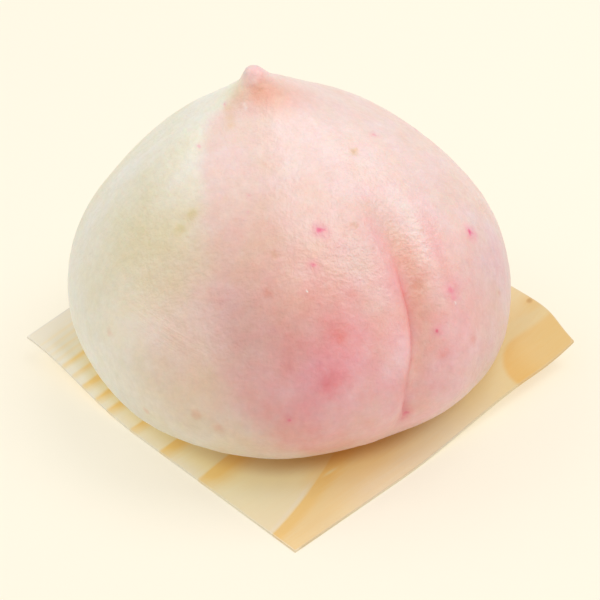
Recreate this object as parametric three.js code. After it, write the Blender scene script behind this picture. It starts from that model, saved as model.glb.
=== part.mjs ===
// A peach-shaped steamed bun resting on its liner, a square of thin wood veneer
// that curled up in the steam. Millimetres, +Z up. The origin is the middle of the
// liner's flat underside, and the liner's front corner points along -Y.

import * as THREE from 'three';

// --- Driving dimensions: the liner ---

const LINER_SIDE = 75;
const LINER_THICKNESS = 0.5;
const LINER_CELLS = 25;
const LINER_TURN = -0.9; // degrees, laid a touch askew

// How far each part of the liner lifts off the table where it curled.
const LEFT_CURL = { rise: 4.8, start: 44.5, length: 29, growth: 0.025, growthEnd: 14 };
const RIGHT_CURL = { rise: 3.6, start: 27, length: 36 };
const CORNER_FLICK = { rise: 2.1, start: 64, length: 11, power: 1.6 };
const BACK_CREST = { rise: 3.9, start: 50, length: 25, width: 7.5, droop: 2.2 };

// The dough presses the veneer down: it stays this far below the belly, and eases
// from its free curl to the pressed-down height the more sharply the higher the power.
const BELLY_CLEARANCE = 1.0;
const PRESS_POWER = 4;

// --- Driving dimensions: the dough ---

const RESTING_GAP = 0.3;
const FOOT_HEIGHT = LINER_THICKNESS + RESTING_GAP;

const HALF_WIDTH = 41.9;
const HALF_DEPTH = 40.1;
const WAIST_HEIGHT = 22.4;
const DOME_RISE = 33.55;
const BELLY_DROP = 25;
const CENTRE = { x: -2.45, y: -2.9 };

// The side outline is a superellipse: a power of 2 is round, less is more pointed,
// more is squarer. Both powers swing a little as the outline is followed round.
const DOME_POWER = { mean: 1.753, swing: 0.149, azimuth: 9 };
const BELLY_POWER = { mean: 2.444, swing: -0.279, azimuth: -63.5 };

// The crown leans back and to the left, ever more towards the tip.
const LEAN = { x: -4.48, y: 8.26, power: 4.48 };

// The pinched tip: a concave flare with a small round nub on it.
const TIP_FLARE = { rise: 6.06, radius: 9.45, power: 1.644 };
const NUB = { rise: 1.85, radius: 2.5, power: 3.2, shiftX: -1.7, shiftReach: 3.6 };

// Seen from above the bun is not quite round: two, three and four soft lobes.
// The four-lobed one belongs to the belly and fades out across a band at the waist.
const BELLY_BAND = 18;
const LOBES = [
  { count: 2, size: 0.017, azimuth: 130, bellyOnly: false },
  { count: 3, size: 0.011, azimuth: 121, bellyOnly: false },
  { count: 4, size: 0.010, azimuth: -111.5, bellyOnly: true },
];

// Soft hand-made bumps: the size in millimetres, the waves round the bun, the turn
// in radians for each millimetre up it. They fade out at the tip and at the foot.
const BUMPS = [
  { size: 0.16, round: 5, up: 0.14, phase: 2.53 },
  { size: 0.12, round: 8, up: -0.17, phase: 2.9 },
];
const BUMP_FREE = { tipShare: 0.33, footHeight: 6 };

// The cleft pressed into the front right: its azimuth turns as it climbs.
const CLEFT = {
  depth: 2.2,
  footAzimuth: -58.5,
  turn: 16,
  turnPower: 1.4,
  turnStart: 14.6,
  turnHeight: 37,
  bottom: 6,
  bottomFade: 16,
  top: 55,
  topFade: 15,
  leftReach: 2.0,
  rightReach: 5.2,
};

// The dough swells beside the cleft: a full lobe on the left, a low ridge on the right.
const CLEFT_LOBE = { rise: 0.55, across: -5.5, reach: 4.5 };
const CLEFT_RIDGE = { rise: 0.45, across: 10.5, reach: 4.0 };

// --- Mesh fineness of the dough ---

const SEGMENTS = 88;
const CROWDING = 0.52;
const DOME_RINGS = 30;
const BELLY_RINGS = 11;
const FOOT_RINGS = 3;
const TIP_FOCUS = { weight: 5, radius: 6 };
const OUTLINE_SAMPLES = 600;

// --- Colours and finish ---

const DOUGH_LOOK = { color: '#eec3b8', roughness: 0.5, metalness: 0 };
const VENEER_LOOK = { color: '#e6cf9f', roughness: 0.75, metalness: 0 };

// --- Small helpers ---

const FULL_TURN = 2 * Math.PI;

function radians(degrees) {
  return THREE.MathUtils.degToRad(degrees);
}

// 0 below zero, 1 above one and a soft S between.
function ease(value) {
  return THREE.MathUtils.smoothstep(value, 0, 1);
}

function bell(distance, reach) {
  return Math.exp(-((distance / reach) ** 2));
}

function swing(setting, azimuth) {
  return setting.mean + setting.swing * Math.cos(azimuth - radians(setting.azimuth));
}

// --- The dough's surface ---
//
// A point of the skin is named by its level and its azimuth. The level is 1 at the
// tip, 0 at the waist and -1 at the edge of the foot.

function outlinePoint(level, domePower, bellyPower) {
  if (level >= 0) {
    const angle = level * Math.PI / 2;
    const radius = Math.cos(angle) ** (2 / domePower);
    return { radius, height: WAIST_HEIGHT + DOME_RISE * Math.sin(angle) ** (2 / domePower) };
  }
  const footShare = (WAIST_HEIGHT - FOOT_HEIGHT) / BELLY_DROP;
  const footAngle = Math.asin(footShare ** (bellyPower / 2));
  const angle = -level * footAngle;
  const radius = Math.cos(angle) ** (2 / bellyPower);
  return { radius, height: WAIST_HEIGHT - BELLY_DROP * Math.sin(angle) ** (2 / bellyPower) };
}

function tipRise(distance) {
  const flare = TIP_FLARE.rise * Math.exp(-((distance / TIP_FLARE.radius) ** TIP_FLARE.power));
  const nub = NUB.rise * Math.exp(-((distance / NUB.radius) ** NUB.power));
  return flare + nub;
}

function lobeFactor(azimuth, radius, height) {
  const belly = ease((WAIST_HEIGHT - height) / BELLY_BAND + 0.5);
  let sum = 0;
  for (const lobe of LOBES) {
    const share = lobe.bellyOnly ? belly : 1;
    sum += share * lobe.size * Math.cos(lobe.count * (azimuth - radians(lobe.azimuth)));
  }
  return 1 + sum * radius;
}

function cleftAzimuth(level) {
  const nominal = outlinePoint(level, DOME_POWER.mean, BELLY_POWER.mean);
  const climb = THREE.MathUtils.clamp((nominal.height - CLEFT.turnStart) / CLEFT.turnHeight, 0, 1);
  return radians(CLEFT.footAzimuth + CLEFT.turn * climb ** CLEFT.turnPower);
}

// The plain skin, before the cleft and the bumps.
function smoothSkin(level, azimuth) {
  const outline = outlinePoint(level, swing(DOME_POWER, azimuth), swing(BELLY_POWER, azimuth));
  const lean = Math.min(outline.height / (WAIST_HEIGHT + DOME_RISE), 1) ** LEAN.power;
  const reach = outline.radius * lobeFactor(azimuth, outline.radius, outline.height);
  const distance = outline.radius * HALF_WIDTH;
  const isDome = level >= 0;
  const nubShift = isDome ? NUB.shiftX * bell(distance, NUB.shiftReach) : 0;
  return new THREE.Vector3(
    CENTRE.x + HALF_WIDTH * reach * Math.cos(azimuth) + LEAN.x * lean + nubShift,
    CENTRE.y + HALF_DEPTH * reach * Math.sin(azimuth) + LEAN.y * lean,
    outline.height + (isDome ? tipRise(distance) : 0),
  );
}

// How far the skin stands out from the plain form, across the cleft and along it.
function cleftRelief(across, height) {
  const fade = ease((CLEFT.top - height) / CLEFT.topFade)
    * ease((height - CLEFT.bottom) / CLEFT.bottomFade);
  const reach = across < 0 ? CLEFT.leftReach : CLEFT.rightReach;
  const groove = -CLEFT.depth * bell(across, reach);
  const lobe = CLEFT_LOBE.rise * bell(across - CLEFT_LOBE.across, CLEFT_LOBE.reach);
  const ridge = CLEFT_RIDGE.rise * bell(across - CLEFT_RIDGE.across, CLEFT_RIDGE.reach);
  return fade * (groove + lobe + ridge);
}

function bumpRelief(azimuth, height, radius) {
  let sum = 0;
  for (const bump of BUMPS) {
    sum += bump.size * Math.sin(bump.round * azimuth + bump.up * height + bump.phase);
  }
  const tipFade = ease(radius / BUMP_FREE.tipShare);
  const footFade = ease((height - FOOT_HEIGHT) / BUMP_FREE.footHeight);
  return sum * tipFade * footFade;
}

// The skin's slope is measured over a small step of level and azimuth.
const PROBE = 0.002;

function skinNormal(level, azimuth) {
  const upper = smoothSkin(Math.min(level + PROBE, 1), azimuth);
  const lower = smoothSkin(Math.max(level - PROBE, -1), azimuth);
  const left = smoothSkin(level, azimuth - PROBE);
  const right = smoothSkin(level, azimuth + PROBE);
  return right.sub(left).cross(upper.sub(lower)).normalize();
}

function skinPoint(level, azimuth, fromCleft) {
  const point = smoothSkin(level, azimuth);
  const outline = outlinePoint(level, swing(DOME_POWER, azimuth), swing(BELLY_POWER, azimuth));
  const across = fromCleft * outline.radius * HALF_WIDTH;
  const relief = cleftRelief(across, point.z) + bumpRelief(azimuth, point.z, outline.radius);
  if (Math.abs(relief) > 1e-6) {
    point.addScaledVector(skinNormal(level, azimuth), relief);
  }
  point.z = Math.max(point.z, FOOT_HEIGHT);
  return point;
}

// Levels spread evenly along the outline, but crowded towards the tip.
function spreadLevels(first, last, count) {
  const travelled = [0];
  let before = nominalPoint(first);
  for (let i = 1; i <= OUTLINE_SAMPLES; i += 1) {
    const now = nominalPoint(first + (last - first) * i / OUTLINE_SAMPLES);
    const step = Math.hypot(now.distance - before.distance, now.height - before.height);
    const focus = first > 0 ? TIP_FOCUS.weight * bell(now.distance, TIP_FOCUS.radius) : 0;
    travelled.push(travelled[i - 1] + step * (1 + focus));
    before = now;
  }
  const whole = travelled[OUTLINE_SAMPLES];
  const levels = [];
  for (let ring = 1; ring <= count; ring += 1) {
    const sample = travelled.findIndex((way) => way >= whole * ring / count * (1 - 1e-9));
    levels.push(first + (last - first) * sample / OUTLINE_SAMPLES);
  }
  return levels;
}

function nominalPoint(level) {
  const outline = outlinePoint(level, DOME_POWER.mean, BELLY_POWER.mean);
  const distance = outline.radius * HALF_WIDTH;
  return { distance, height: outline.height + (level >= 0 ? tipRise(distance) : 0) };
}

// Angles measured from the cleft, close together there and wide at the back.
function spreadAzimuths() {
  const angles = [];
  for (let i = 0; i < SEGMENTS; i += 1) {
    const even = i / SEGMENTS * FULL_TURN - Math.PI;
    angles.push(even - CROWDING * Math.sin(even));
  }
  return angles;
}

// --- Meshes ---

function solidGeometry(positions, triangles) {
  const geometry = new THREE.BufferGeometry();
  geometry.setAttribute('position', new THREE.Float32BufferAttribute(positions, 3));
  geometry.setIndex(triangles);
  geometry.computeVertexNormals();
  return geometry;
}

function makeDoughGeometry() {
  const fromCleft = spreadAzimuths();
  const levels = [
    ...spreadLevels(1, 0, DOME_RINGS),
    ...spreadLevels(0, -1, BELLY_RINGS),
  ];
  const tip = smoothSkin(1, 0);
  const positions = [...tip];
  for (const level of levels) {
    const start = cleftAzimuth(level);
    for (const offset of fromCleft) {
      positions.push(...skinPoint(level, start + offset, offset));
    }
  }

  // The flat foot closes in on its own middle.
  const rim = positions.slice(-3 * SEGMENTS);
  for (let ring = 1; ring < FOOT_RINGS; ring += 1) {
    const share = 1 - ring / FOOT_RINGS;
    for (let i = 0; i < SEGMENTS; i += 1) {
      positions.push(CENTRE.x + (rim[3 * i] - CENTRE.x) * share);
      positions.push(CENTRE.y + (rim[3 * i + 1] - CENTRE.y) * share);
      positions.push(FOOT_HEIGHT);
    }
  }
  positions.push(CENTRE.x, CENTRE.y, FOOT_HEIGHT);

  const rings = levels.length + FOOT_RINGS - 1;
  const last = positions.length / 3 - 1;
  const triangles = [];
  for (let i = 0; i < SEGMENTS; i += 1) {
    const next = (i + 1) % SEGMENTS;
    triangles.push(0, 1 + i, 1 + next);
    for (let ring = 0; ring < rings - 1; ring += 1) {
      const upper = 1 + ring * SEGMENTS;
      const lower = upper + SEGMENTS;
      triangles.push(upper + i, lower + i, lower + next);
      triangles.push(upper + i, lower + next, upper + next);
    }
    const rimStart = 1 + (rings - 1) * SEGMENTS;
    triangles.push(rimStart + i, last, rimStart + next);
  }
  return solidGeometry(positions, triangles);
}

// --- The liner ---
//
// The liner's own two directions start at its front corner: along runs to the right
// corner and up runs to the left corner.

function bellyHeightAt(x, y) {
  const dx = (x - CENTRE.x) / HALF_WIDTH;
  const dy = (y - CENTRE.y) / HALF_DEPTH;
  const azimuth = Math.atan2(dy, dx);
  const power = swing(BELLY_POWER, azimuth);
  const radius = Math.hypot(dx, dy) / lobeFactor(azimuth, 1, FOOT_HEIGHT);
  if (radius >= 1) {
    return WAIST_HEIGHT;
  }
  const height = WAIST_HEIGHT - BELLY_DROP * (1 - radius ** power) ** (1 / power);
  return Math.max(height, FOOT_HEIGHT);
}

function freeCurl(along, up) {
  const growth = 1 + LEFT_CURL.growth * Math.min(along, LEFT_CURL.growthEnd);
  const left = LEFT_CURL.rise * growth * ease((up - LEFT_CURL.start) / LEFT_CURL.length);
  const right = RIGHT_CURL.rise * ease((along - RIGHT_CURL.start) / RIGHT_CURL.length);
  const flickShare = Math.max((along - CORNER_FLICK.start) / CORNER_FLICK.length, 0);
  const flick = CORNER_FLICK.rise * flickShare ** CORNER_FLICK.power;
  const nearBack = ease((along - BACK_CREST.start) / BACK_CREST.length);
  const crest = BACK_CREST.rise * ease(up / BACK_CREST.width);
  const droop = BACK_CREST.droop * ease((up - BACK_CREST.width) / (LINER_SIDE - BACK_CREST.width));
  const both = Math.hypot(right + flick + crest * nearBack, left);
  return Math.max(both - droop * nearBack, 0);
}

function linerLift(along, up, x, y) {
  const free = freeCurl(along, up);
  const room = Math.max(bellyHeightAt(x, y) - FOOT_HEIGHT - BELLY_CLEARANCE, 0);
  if (free < 1e-6 || room < 1e-6) {
    return 0;
  }
  return (free ** -PRESS_POWER + room ** -PRESS_POWER) ** (-1 / PRESS_POWER);
}

function makeLinerGeometry() {
  const side = LINER_CELLS + 1;
  const turn = radians(45 + LINER_TURN);
  const bottoms = [];
  const tops = [];
  for (let j = 0; j < side; j += 1) {
    for (let i = 0; i < side; i += 1) {
      const along = i / LINER_CELLS * LINER_SIDE;
      const up = j / LINER_CELLS * LINER_SIDE;
      const dx = along - LINER_SIDE / 2;
      const dy = up - LINER_SIDE / 2;
      const x = dx * Math.cos(turn) - dy * Math.sin(turn);
      const y = dx * Math.sin(turn) + dy * Math.cos(turn);
      const lift = linerLift(along, up, x, y);
      bottoms.push(x, y, lift);
      tops.push(x, y, lift + LINER_THICKNESS);
    }
  }

  const topStart = side * side;
  const triangles = [];
  for (let j = 0; j < LINER_CELLS; j += 1) {
    for (let i = 0; i < LINER_CELLS; i += 1) {
      const a = j * side + i;
      const b = a + 1;
      const c = b + side;
      const d = a + side;
      triangles.push(a, c, b, a, d, c);
      triangles.push(topStart + a, topStart + b, topStart + c);
      triangles.push(topStart + a, topStart + c, topStart + d);
    }
  }
  for (let k = 0; k < LINER_CELLS; k += 1) {
    const corner = LINER_CELLS * side;
    addWall(triangles, topStart, k, k + 1);
    addWall(triangles, topStart, k * side + LINER_CELLS, (k + 1) * side + LINER_CELLS);
    addWall(triangles, topStart, corner + k + 1, corner + k);
    addWall(triangles, topStart, (k + 1) * side, k * side);
  }
  return solidGeometry([...bottoms, ...tops], triangles);
}

// One cell of the cut edge, between two neighbouring points of the border.
function addWall(triangles, topStart, from, to) {
  triangles.push(from, to, topStart + to);
  triangles.push(from, topStart + to, topStart + from);
}

// --- The object ---

function makeDough() {
  const mesh = new THREE.Mesh(makeDoughGeometry(), new THREE.MeshStandardMaterial(DOUGH_LOOK));
  mesh.name = 'bun';
  return mesh;
}

function makeLiner() {
  const mesh = new THREE.Mesh(makeLinerGeometry(), new THREE.MeshStandardMaterial(VENEER_LOOK));
  mesh.name = 'veneer_liner';
  return mesh;
}

const steamedBun = new THREE.Group();
steamedBun.add(makeDough());
steamedBun.add(makeLiner());

export default steamedBun;
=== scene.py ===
# The looks of a peach-shaped steamed bun on its veneer liner.
# Shapes are worked out in millimetres in the model's own frame and turned into metres at the end.

import math
import random

import bmesh
import bpy
import numpy as np
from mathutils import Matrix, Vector


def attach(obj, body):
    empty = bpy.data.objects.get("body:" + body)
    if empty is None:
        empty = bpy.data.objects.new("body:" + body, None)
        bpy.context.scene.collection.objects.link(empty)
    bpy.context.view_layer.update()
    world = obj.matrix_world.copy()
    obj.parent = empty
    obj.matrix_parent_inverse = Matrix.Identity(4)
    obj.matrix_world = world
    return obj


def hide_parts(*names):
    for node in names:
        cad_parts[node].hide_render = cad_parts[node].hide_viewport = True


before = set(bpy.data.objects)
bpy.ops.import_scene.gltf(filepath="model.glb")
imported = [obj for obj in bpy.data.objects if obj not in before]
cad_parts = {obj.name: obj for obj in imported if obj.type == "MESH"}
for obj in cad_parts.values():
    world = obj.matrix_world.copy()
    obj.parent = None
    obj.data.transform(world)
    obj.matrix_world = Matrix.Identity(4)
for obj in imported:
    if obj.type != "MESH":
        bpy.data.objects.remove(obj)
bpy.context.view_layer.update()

MM = 0.001

# --- The dough's own axes, as the solid has them ---

CENTRE = np.array([-2.45, -2.9])
HALF_WIDTH = 41.9
HALF_DEPTH = 40.1
CROWN_HEIGHT = 55.95
LEAN = np.array([-4.48, 8.26])
LEAN_POWER = 4.48
FOOT_HEIGHT = 0.8

# --- The cleft: its azimuth turns as it climbs ---

CLEFT_FOOT_AZIMUTH = -58.5
CLEFT_TURN = 16
CLEFT_TURN_START = 14.6
CLEFT_TURN_HEIGHT = 37
CLEFT_TURN_POWER = 1.4

# --- The groove at the cleft's floor, millimetres across it ---

GROOVE_OFFSET = -0.9
GROOVE_SWAY = {"height": 25.5, "reach": 4.5, "by": -1.4}
GROOVE_TAIL = {"from": 22, "over": 6, "by": 1.3}
GROOVE_FOOT = 12
GROOVE_TOP = 33
GROOVE_FADE = 9
GROOVE_DEPTH = 0.9
GROOVE_LEFT = 0.5
GROOVE_RIGHT = 1.2
# Its left lip swells and hangs over it.
LIP_SWELL = {"across": -2.2, "reach": 1.5, "by": 0.2}
LIP_HANG = {"across": -0.7, "reach": 0.9, "by": 0.25}
# A short fold runs beside it on the right.
FOLD = {"across": 9.6, "reach": 1.4, "height": 40.4, "span": 3.6, "by": -0.18}
# The cleft's upper end is nearly filled.
FILL = {"across": 0.5, "reach": 2.2, "height": 47.5, "span": 3.5, "by": 0.28}
# The mesh is finer round the groove.
FINE_ACROSS = 4
FINE_MIDDLE = 30
FINE_SPAN = 18

# --- The skin's unevenness ---

SKIN_MESH = 1.07
LUMP_SIZE = 11
LUMP_HEIGHT = 0.35
LUMP_OCTAVES = 1
GRAIN_SIZE = 2.4
GRAIN_HEIGHT = 0.14
GRAIN_OCTAVES = 2
# The foot settles onto the liner.
SETTLE = {"by": 0.3, "over": 5}

# The nub leans over a hollow in front of it and rounds out into a small lip.
NUB_FORMS = [
    {"spot": (-10.2, 2.4, 60.0), "depth": -0.45, "reach": 2.2},
    {"spot": (-8.2, 3.2, 62.2), "depth": -0.15, "reach": 1.15},
    {"spot": (-8.5, -0.5, 59.1), "depth": -0.12, "reach": 0.5},
    {"spot": (-7.8, -1.2, 58.7), "depth": -0.12, "reach": 0.5},
]
# Shallow hollows in the skin, each placed by its azimuth in degrees and its height.
HOLLOWS = [
    {"azimuth": -139.9, "height": 46.2, "depth": 0.35, "reach": 1.6, "tall": 1.7},
    {"azimuth": -12.3, "height": 52.5, "depth": 0.12, "reach": 0.9},
    {"azimuth": -55.5, "height": 47.2, "depth": 0.2, "reach": 0.8},
    {"azimuth": -94.6, "height": 45.4, "depth": 0.12, "reach": 0.9},
    {"azimuth": -96.0, "height": 41.0, "depth": 0.12, "reach": 1.0},
    {"azimuth": -43.6, "height": 37.5, "depth": 0.1, "reach": 1.2},
    {"azimuth": -18.6, "height": 29.0, "depth": 0.2, "reach": 1.0},
    {"azimuth": 38.0, "height": 41.0, "depth": 0.25, "reach": 1.3},
    {"azimuth": 96.0, "height": 33.0, "depth": 0.3, "reach": 1.5, "tall": 1.5},
    {"azimuth": 140.0, "height": 44.0, "depth": 0.2, "reach": 1.1},
]

# --- The liner's own axes ---

LINER_SIDE = 75
# It lies with a corner to the front, its sides turned this many degrees from the axes.
LINER_AZIMUTH = 44.1
# Its right tip dips again after the curl.
TIP_DIP = {"spot": (53, 0), "reach": 9, "by": 0.62}
# Edges sharper than these stay crisp when it is subdivided and when it is shaded smooth.
SHARP_ANGLE = math.radians(50)
SMOOTH_ANGLE = math.radians(40)
# A face whose normal rises less than this belongs to a cut edge.
CUT_EDGE_RISE = 0.5

# --- Working limits ---

WELD = 1e-6
PAIR_FACE_ANGLE = math.radians(60)
PAIR_SHAPE_ANGLE = math.radians(75)
# Rays towards the skin start this far out.
CAST_FROM = 200 * MM
# Clearances are cut off at this height, and measured from just above the sheet.
OPEN_AIR = 20.0
JUST_ABOVE = 0.01


# --- Small helpers ---


def ease(value):
    """0 below zero, 1 above one and a soft S between."""
    t = np.clip(value, 0, 1)
    return t * t * (3 - 2 * t)


def bell(distance, reach):
    return np.exp(-((distance / reach) ** 2))


def pick(piece):
    bpy.ops.object.select_all(action="DESELECT")
    piece.select_set(True)
    bpy.context.view_layer.objects.active = piece


def finish_with(piece, kind, **settings):
    """Adds one modifier and applies it."""
    modifier = piece.modifiers.new(kind.lower(), kind)
    for key, value in settings.items():
        setattr(modifier, key, value)
    pick(piece)
    bpy.ops.object.modifier_apply(modifier=modifier.name)


def merged_copy(node, name):
    """A new piece from a CAD node's mesh, with its doubles merged and its triangles paired."""
    piece = bpy.data.objects.new(name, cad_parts[node].data.copy())
    bpy.context.scene.collection.objects.link(piece)
    piece.data.materials.clear()
    pick(piece)
    bpy.ops.mesh.customdata_custom_splitnormals_clear()
    bpy.ops.object.mode_set(mode="EDIT")
    bpy.ops.mesh.select_all(action="SELECT")
    bpy.ops.mesh.remove_doubles(threshold=WELD)
    bpy.ops.mesh.tris_convert_to_quads(
        face_threshold=PAIR_FACE_ANGLE, shape_threshold=PAIR_SHAPE_ANGLE
    )
    bpy.ops.object.mode_set(mode="OBJECT")
    return piece


def points_of(piece):
    """The piece's vertices, in millimetres."""
    flat = np.empty(len(piece.data.vertices) * 3)
    piece.data.vertices.foreach_get("co", flat)
    return flat.reshape(-1, 3) / MM


def normals_of(piece):
    flat = np.empty(len(piece.data.vertices) * 3)
    piece.data.vertices.foreach_get("normal", flat)
    return flat.reshape(-1, 3)


def move_points(piece, points):
    piece.data.vertices.foreach_set("co", (points * MM).ravel())
    piece.data.update()


def note_on(piece, name, values):
    """Writes one number on each vertex, for the material to read."""
    attribute = piece.data.attributes.new(name, "FLOAT", "POINT")
    attribute.data.foreach_set("value", values.astype(np.float32))


# --- The dough's surface ---


def upright(points):
    """Azimuth in degrees and distance from the core, with the crown's lean taken out."""
    share = np.minimum(points[:, 2] / CROWN_HEIGHT, 1) ** LEAN_POWER
    across = points[:, :2] - CENTRE - share[:, None] * LEAN
    across = across / [HALF_WIDTH, HALF_DEPTH]
    azimuth = np.degrees(np.arctan2(across[:, 1], across[:, 0]))
    return azimuth, np.hypot(across[:, 0], across[:, 1]) * HALF_WIDTH


def from_cleft(points):
    """How far each point lies to the right of the cleft, in millimetres along the skin."""
    azimuth, distance = upright(points)
    climb = np.clip((points[:, 2] - CLEFT_TURN_START) / CLEFT_TURN_HEIGHT, 0, 1)
    line = CLEFT_FOOT_AZIMUTH + CLEFT_TURN * climb**CLEFT_TURN_POWER
    offset = (azimuth - line + 180) % 360 - 180
    return np.radians(offset) * distance


def from_groove(points):
    """The same, counted from the groove, which wanders a little from the cleft's line."""
    height = points[:, 2]
    sway = GROOVE_SWAY["by"] * bell(height - GROOVE_SWAY["height"], GROOVE_SWAY["reach"])
    tail = GROOVE_TAIL["by"] * ease((GROOVE_TAIL["from"] - height) / GROOVE_TAIL["over"])
    return from_cleft(points) - GROOVE_OFFSET - sway - tail


def roughen(piece, name, size, height, octaves):
    """Soft unevenness of the skin, in and out by half its height."""
    cloud = bpy.data.textures.new(name, "CLOUDS")
    cloud.noise_scale = size * MM
    cloud.noise_depth = octaves
    settings = {"texture": cloud, "texture_coords": "LOCAL", "mid_level": 0.5}
    finish_with(piece, "DISPLACE", strength=height * MM, **settings)


def refine_where(piece, wanted):
    """Cuts each face in four where all its corners are wanted."""
    pick(piece)
    bpy.ops.object.mode_set(mode="EDIT")
    bpy.ops.mesh.select_all(action="DESELECT")
    bpy.ops.mesh.select_mode(type="FACE")
    bpy.ops.object.mode_set(mode="OBJECT")
    for face in piece.data.polygons:
        face.select = all(wanted[corner] for corner in face.vertices)
    bpy.ops.object.mode_set(mode="EDIT")
    bpy.ops.mesh.subdivide(number_cuts=1)
    bpy.ops.object.mode_set(mode="OBJECT")


def ridge_lift(across, form):
    """The lift of a ridge along the groove. A negative one is a furrow."""
    return form["by"] * bell(across - form["across"], form["reach"])


def short_lift(across, height, form):
    """The lift of a ridge or furrow that runs only a short way up."""
    return ridge_lift(across, form) * bell(height - form["height"], form["span"])


def press_cleft(piece):
    """The narrow groove at the cleft's floor, steep on its left side and open on its right."""
    points, outward = points_of(piece), normals_of(piece)
    height = points[:, 2]
    across = from_groove(points)
    rise = ease((height - GROOVE_FOOT) / GROOVE_FADE)
    share = rise * (1 - ease((height - GROOVE_TOP) / GROOVE_FADE))
    reach = np.where(across < 0, GROOVE_LEFT, GROOVE_RIGHT)
    lift = (ridge_lift(across, LIP_SWELL) - GROOVE_DEPTH * bell(across, reach)) * share
    lift += short_lift(across, height, FOLD) + short_lift(across, height, FILL)
    rightward = np.cross([0, 0, 1], outward)
    hang = ridge_lift(across, LIP_HANG) * share
    move_points(piece, points + outward * lift[:, None] + rightward * hang[:, None])


def dent(piece, spot, depth, reach, tall=1.0):
    """Presses one shallow hollow into the skin. A negative depth raises a bump."""
    points, outward = points_of(piece), normals_of(piece)
    away = np.sqrt((((points - spot) / [1, 1, tall]) ** 2).sum(axis=1))
    facing = np.clip(outward @ outward[np.argmin(away)], 0, 1)
    move_points(piece, points - outward * (depth * bell(away, reach) * facing)[:, None])


def on_skin(piece, azimuth, height):
    """The point of the skin at an azimuth about the bun's middle and a height, in millimetres."""
    bpy.context.view_layer.update()
    turn = math.radians(azimuth)
    inward = Vector((-math.cos(turn), -math.sin(turn), 0))
    start = Vector((*CENTRE, height)) * MM - inward * CAST_FROM
    return tuple(piece.ray_cast(start, inward)[1] / MM)


def make_bun():
    solid = merged_copy("bun", "bun_guide")
    finish_with(solid, "SUBSURF", levels=2, render_levels=2)
    pick(solid)
    bpy.ops.object.duplicate()
    bun = bpy.context.object
    bun.name = bun.data.name = "steamed_bun"
    finish_with(bun, "REMESH", mode="VOXEL", voxel_size=SKIN_MESH * MM)
    finish_with(bun, "SHRINKWRAP", target=solid, wrap_method="NEAREST_SURFACEPOINT")
    bpy.data.objects.remove(solid)

    points = points_of(bun)
    beside_groove = np.abs(from_groove(points)) < FINE_ACROSS
    refine_where(bun, beside_groove & (np.abs(points[:, 2] - FINE_MIDDLE) < FINE_SPAN))
    finish_with(bun, "SUBSURF", levels=1, render_levels=1)
    roughen(bun, "lumps", LUMP_SIZE, LUMP_HEIGHT, LUMP_OCTAVES)
    roughen(bun, "grain", GRAIN_SIZE, GRAIN_HEIGHT, GRAIN_OCTAVES)

    points = points_of(bun)
    points[:, 2] -= SETTLE["by"] * (1 - ease((points[:, 2] - FOOT_HEIGHT) / SETTLE["over"]))
    move_points(bun, points)
    note_on(bun, "from_groove", from_groove(points))
    press_cleft(bun)
    for form in NUB_FORMS:
        dent(bun, **form)
    for hollow in HOLLOWS:
        spot = on_skin(bun, hollow["azimuth"], hollow["height"])
        dent(bun, spot, hollow["depth"], hollow["reach"], hollow.get("tall", 1))
    pick(bun)
    bpy.ops.object.shade_smooth()
    return bun


# --- The liner ---


def crease_sharp_edges(piece):
    """Keeps the sheet's cut edges crisp when it is subdivided."""
    mesh = bmesh.new()
    mesh.from_mesh(piece.data)
    crease = mesh.edges.layers.float.new("crease_edge")
    for edge in mesh.edges:
        if edge.calc_face_angle(0) > SHARP_ANGLE:
            edge[crease] = 1
    mesh.to_mesh(piece.data)
    mesh.free()


def note_rim(piece):
    """Marks the vertices of the faces that stand upright, which are the sheet's cut edges."""
    rim = np.zeros(len(piece.data.vertices))
    for face in piece.data.polygons:
        if abs(face.normal.z) < CUT_EDGE_RISE:
            rim[list(face.vertices)] = 1
    note_on(piece, "rim", rim)


def note_clearance(piece, above):
    """Notes how many millimetres of air lie between each point and the piece above it."""
    bpy.context.view_layer.update()
    up = Vector((0, 0, 1))
    clearance = np.full(len(piece.data.vertices), OPEN_AIR)
    for index, vertex in enumerate(piece.data.vertices):
        found, place, _, _ = above.ray_cast(vertex.co + up * (JUST_ABOVE * MM), up)
        if found:
            clearance[index] = min(OPEN_AIR, (place.z - vertex.co.z) / MM)
    note_on(piece, "clearance", clearance)


def make_liner(bun):
    liner = merged_copy("veneer_liner", "veneer_sheet")
    pick(liner)
    crease_sharp_edges(liner)
    finish_with(liner, "SUBSURF", levels=2, render_levels=2)
    points = points_of(liner)
    from_tip = np.hypot(*(points[:, :2] - TIP_DIP["spot"]).T)
    points[:, 2] -= TIP_DIP["by"] * bell(from_tip, TIP_DIP["reach"])
    move_points(liner, points)
    pick(liner)
    bpy.ops.object.shade_smooth_by_angle(angle=SMOOTH_ANGLE)
    note_rim(liner)
    note_clearance(liner, bun)
    return liner


# --- Materials ---


class Wire:
    """One value in a node tree. Python's arithmetic on it adds Math nodes."""

    def __init__(self, finish, socket):
        self.finish = finish
        self.socket = socket

    def math(self, operation, *others):
        return self.finish.math(operation, self, *others)

    def __add__(self, other):
        return self.math("ADD", other)

    __radd__ = __add__

    def __mul__(self, other):
        return self.math("MULTIPLY", other)

    __rmul__ = __mul__

    def __sub__(self, other):
        return self.math("SUBTRACT", other)

    def __rsub__(self, other):
        return self.finish.math("SUBTRACT", other, self)

    def __truediv__(self, other):
        return self.math("DIVIDE", other)

    def __neg__(self):
        return self * -1


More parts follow.
